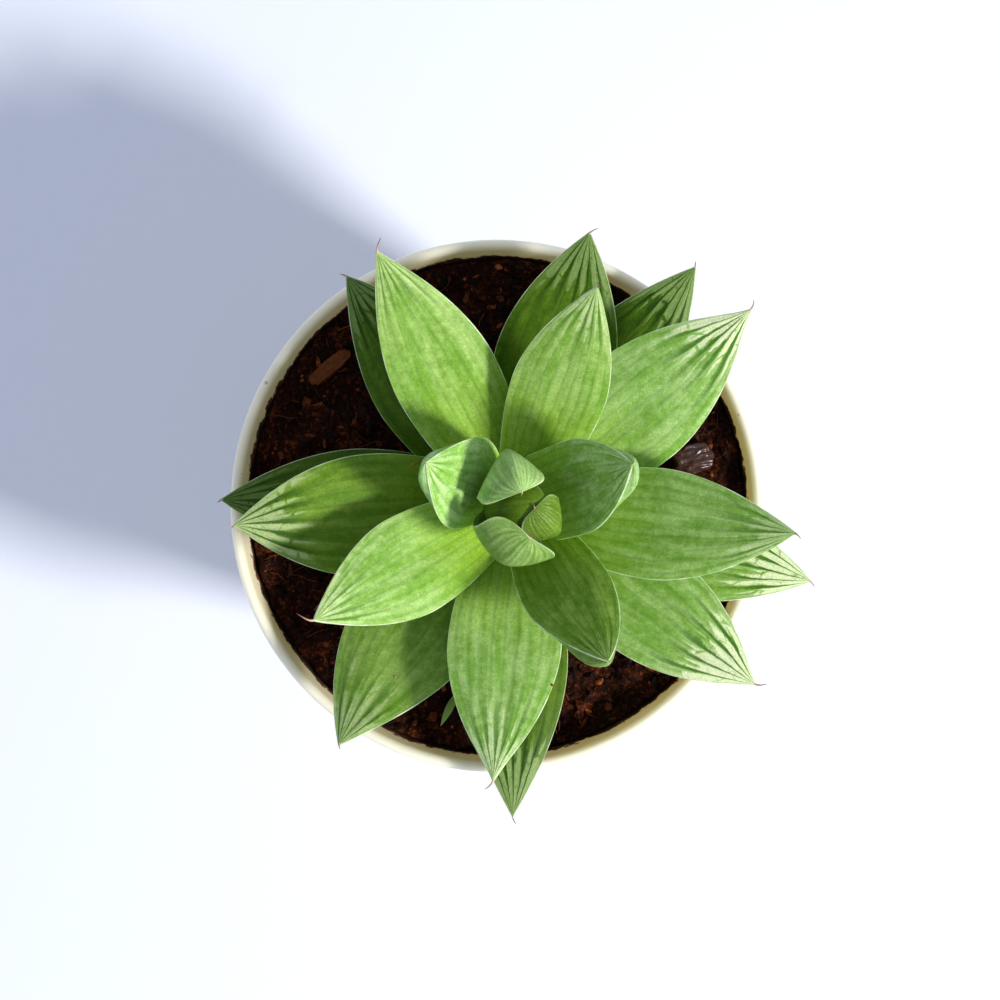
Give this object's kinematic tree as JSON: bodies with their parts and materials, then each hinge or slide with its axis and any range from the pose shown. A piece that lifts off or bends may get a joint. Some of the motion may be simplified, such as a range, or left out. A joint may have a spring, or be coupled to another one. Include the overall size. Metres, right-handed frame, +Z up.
{
  "type": "potted haworthia",
  "caption": "Small succulent rosette of thick boat-shaped green leaves with striped translucent tips, in a round tapered ivory nursery pot of dark peat.",
  "frame": {"origin": "centre of the pot's underside, in the plane it stands on", "axes": "+Z up along the pot's axis; +X and +Y level, with the rosette's centre slightly towards +X"},
  "size_m": [0.0979, 0.0966, 0.1208],
  "materials": {
    "pot": "satin",
    "soil": "matte",
    "stem": "satin",
    "leaf": "satin",
    "bark": "matte",
    "seedling": "satin"
  },
  "bodies": {
    "root": {"pot": "pot", "soil": "soil", "stem": "stem", "leaf_01": "leaf", "leaf_02": "leaf", "leaf_03": "leaf", "leaf_04": "leaf", "leaf_05": "leaf", "leaf_06": "leaf", "leaf_07": "leaf", "leaf_08": "leaf", "leaf_09": "leaf", "leaf_10": "leaf", "leaf_11": "leaf", "leaf_12": "leaf", "leaf_13": "leaf", "leaf_14": "leaf", "leaf_15": "leaf", "leaf_16": "leaf", "leaf_17": "leaf", "leaf_18": "leaf", "leaf_19": "leaf", "leaf_20": "leaf", "leaf_21": "leaf", "leaf_22": "leaf", "bark_stick": "bark", "bark_chunk": "bark", "bark_chip": "bark", "seedling": "seedling"}
  },
  "joints": []
}
